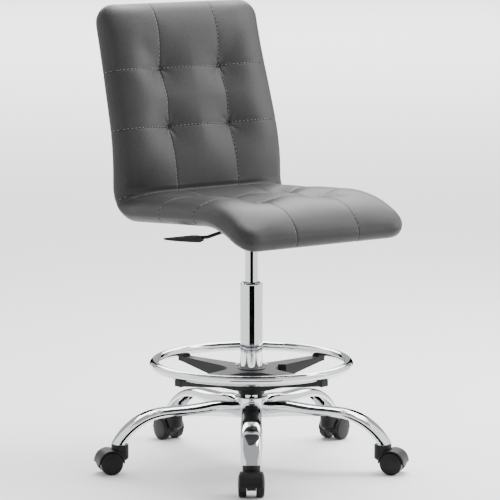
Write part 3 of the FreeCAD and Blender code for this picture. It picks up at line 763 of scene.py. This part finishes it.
skin = add(
    tree,
    "BsdfPrincipled",
    {
        "Base Color": painted_shade_tone.outputs[0],
        "Roughness": satin.outputs[0],
        "Normal": soft_emboss.outputs[0],
        "IOR": 1.5,
        "Specular IOR Level": 0.24,
    },
)
close(tree, skin)
pad.data.materials.append(vinyl)


# ---- Thread ----
# Bonded polyester thread, a shade lighter than the vinyl: a top stitch every 9 mm along one side of each
# joint, laid on the flat cover, and a short crossed knot down in each dimple.
thread_radius = 0.5 * mm
stitch_length = 5.4 * mm
stitch_pitch = 9.0 * mm
stitch_offset = 1.7 * mm
stitch_stand = 0.1 * mm
longest_span = 12 * mm
bpy.ops.mesh.primitive_uv_sphere_add(segments=6, ring_count=6, radius=1)
stitch = bpy.context.object
stitch.name = "stitch"
stitch.scale = (stitch_length / 2, thread_radius, thread_radius)
bpy.ops.object.transform_apply(location=False, rotation=False, scale=True)
stitch_mesh = stitch.data
bpy.data.objects.remove(stitch)
surface = BVHTree.FromPolygons(
    [v.co.copy() for v in pad.data.vertices], [tuple(f.vertices) for f in pad.data.polygons]
)
thread_parts = []


def lay_stitch(here, ahead_of):
    """One stitch at a point of the cover, each given with its normal, pointing to the next point."""
    along = (ahead_of[0] - here[0]).normalized()
    up = here[1]
    across = up.cross(along).normalized()
    turn = Matrix((along, across, along.cross(across))).transposed().to_4x4()
    piece = bpy.data.objects.new("stitch", stitch_mesh)
    piece.matrix_world = Matrix.Translation(here[0] + up * stitch_stand) @ turn
    scene.collection.objects.link(piece)
    thread_parts.append(piece)


def run_of_stitches(starts, look):
    """Stitches where lines of sight from evenly spaced points first meet the cover."""
    found = []
    for start in starts:
        place, normal, _, _ = surface.ray_cast(Vector(start), Vector(look))
        if place is not None:
            found.append((place, normal))
    for here, ahead_of in zip(found[::2], found[1::2]):
        if (ahead_of[0] - here[0]).length < longest_span:
            lay_stitch(here, ahead_of)


half_step = stitch_pitch / 2
face_half = shell_width / 2 - 27 * mm
in_front = -0.2
beside = 0.4
side_levels = [-18 * mm + i * half_step for i in range(8)]
knot_turns = (0.7, -0.8)
for side in (-1, 1):
    line = side * (tuft_column + stitch_offset)
    count = int((shell_length + slab_half) / half_step)
    run_of_stitches([(line, i * half_step, in_front) for i in range(count)], (0, 0, 1))
for row in tuft_rows:
    count = int(2 * face_half / half_step)
    across = [-face_half + i * half_step for i in range(count)]
    run_of_stitches([(at, row - stitch_offset, in_front) for at in across], (0, 0, 1))
for row in tuft_rows + [side_seam_row]:
    for side in (-1, 1):
        starts = [(side * beside, row - stitch_offset, level) for level in side_levels]
        run_of_stitches(starts, (-side, 0, 0))
for tx, ts in tufts:
    place, normal, _, _ = surface.ray_cast(Vector((tx, ts, in_front)), Vector((0, 0, 1)))
    for turn in knot_turns:
        lay_stitch((place, normal), (place + Vector((math.cos(turn), math.sin(turn), 0)), normal))
clear_selection()
for piece in thread_parts:
    piece.select_set(True)
bpy.context.view_layer.objects.active = thread_parts[0]
bpy.ops.object.make_single_user(type="SELECTED_OBJECTS", object=True, obdata=True)
bpy.ops.object.join()
thread = bpy.context.object
thread.name = "seam_thread"
bpy.ops.object.transform_apply(location=True, rotation=True, scale=True)
bpy.ops.object.shade_smooth()
polyester, tree = finish_named("bonded_polyester_thread")
place = add(tree, "TexCoord")
twist = add(
    tree,
    "TexNoise",
    {"Vector": place.outputs["Object"], "Scale": 1.0 / (0.9 * mm), "Detail": 2.0},
)
thread_tone = between(tree, twist.outputs["Fac"], "#747474", "#9c9c9c")
close(tree, add(tree, "BsdfPrincipled", {"Base Color": thread_tone, "Roughness": 0.6}))
thread.data.materials.append(polyester)
write_points(thread.data, tailor(read_points(thread.data)))
bend_to_shell(thread)
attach(thread, "seat")
clear_selection()


# ---- Upholstered shell: bent to the board ----
# The finished pad takes the cut of its cover and the curve of the plywood, and stands for the four soft
# pieces of the chair.
write_points(pad.data, tailor(read_points(pad.data)))
bend_to_shell(pad)
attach(pad, "seat")
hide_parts("vinyl_cover", "front_foam", "rear_foam", "tuft_ties")
